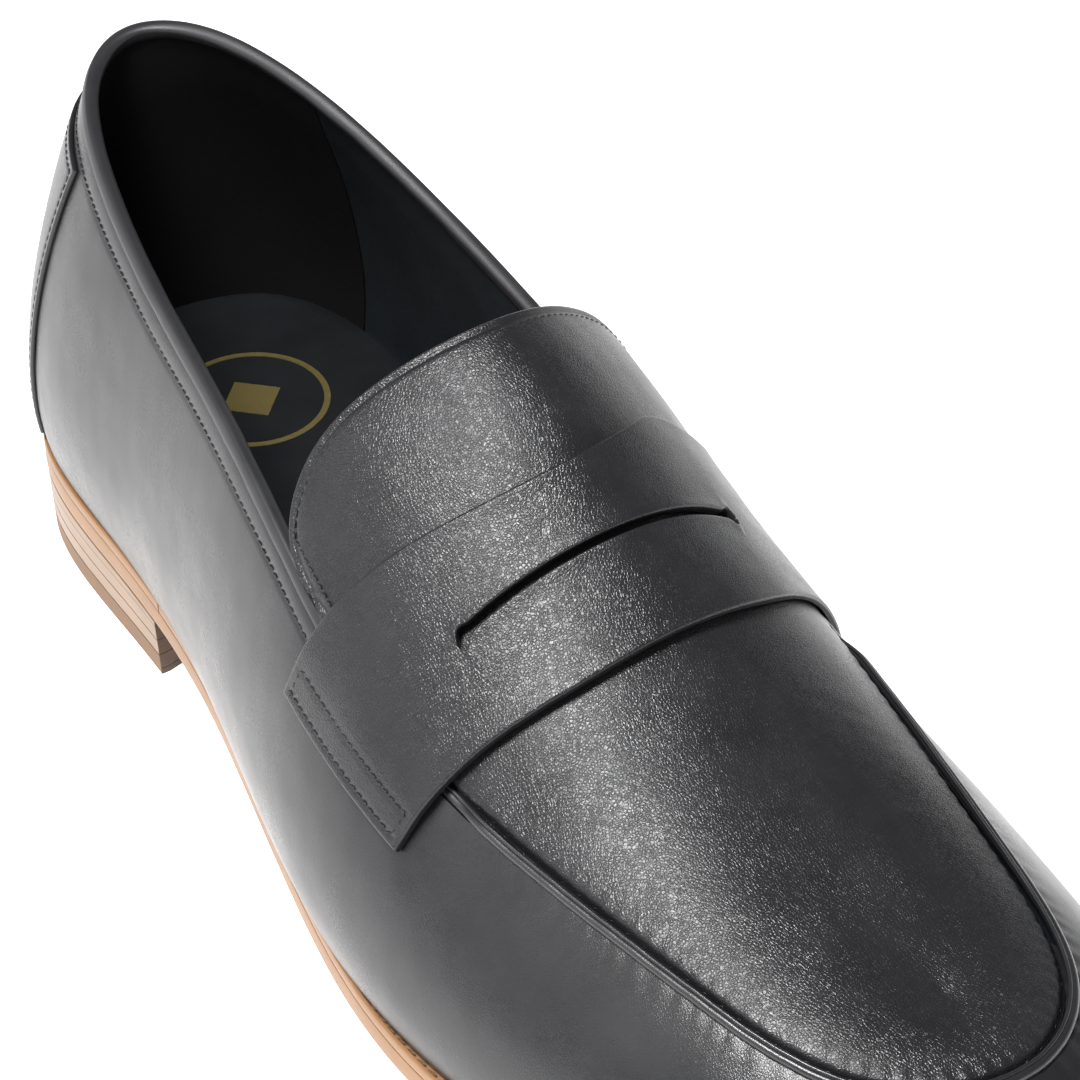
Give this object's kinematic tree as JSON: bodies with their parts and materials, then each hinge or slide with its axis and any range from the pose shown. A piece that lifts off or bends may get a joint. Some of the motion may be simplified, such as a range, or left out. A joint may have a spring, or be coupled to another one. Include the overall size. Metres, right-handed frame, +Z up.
{
  "type": "penny loafer",
  "caption": "Right men's penny loafer in black leather: raised seam round the apron, slotted saddle strap, tan leather sole and low stacked heel.",
  "frame": {"origin": "centre of the shoe's box in plan, on the ground it stands on", "axes": "+X to the toe, +Y to the inner side of the foot, +Z up"},
  "size_m": [0.2914, 0.1051, 0.0956],
  "materials": {
    "upper_leather": "satin fine-grain black calf",
    "dark_leather": "matt black leather edge",
    "lining_leather": "smooth black lining leather",
    "pocket_suede": "black suede",
    "stiffener": "plain",
    "insole_board": "pressed fibre board",
    "shank_steel": "blued",
    "cork": "granular",
    "foam": "open cell",
    "gold_foil": "satin foil",
    "sole_leather": "natural vegetable tan, waxed edge",
    "stacked_leather": "stacked lifts, burnished",
    "top_rubber": "matt, tan",
    "nail_brass": "worn",
    "black_thread": "waxed thread",
    "welt_thread": "waxed brown thread"
  },
  "bodies": {
    "root": {"skirt": "upper_leather", "apron": "upper_leather", "tongue": "upper_leather", "saddle_strap": "upper_leather", "strap_backing": "dark_leather", "heel_cap": "dark_leather", "apron_piping": "upper_leather", "topline_binding": "dark_leather", "vamp_lining": "lining_leather", "quarter_lining_outer": "lining_leather", "quarter_lining_inner": "lining_leather", "heel_pocket_lining": "pocket_suede", "tongue_lining": "lining_leather", "toe_puff": "stiffener", "heel_counter": "stiffener", "insole_board": "insole_board", "shank": "shank_steel", "cork_filler": "cork", "foam_footbed": "foam", "sock_liner": "lining_leather", "foil_mark": "gold_foil", "welt": "sole_leather", "heel_rand": "sole_leather", "outsole": "sole_leather", "heel_lift_upper": "stacked_leather", "heel_lift_lower": "stacked_leather", "heel_top_piece": "top_rubber", "heel_nails": "nail_brass", "topline_stitching": "black_thread", "tongue_stitching": "black_thread", "strap_stitching": "black_thread", "seam_stitching": "black_thread", "heel_cap_stitching": "black_thread", "welt_stitching": "welt_thread"}
  },
  "joints": []
}
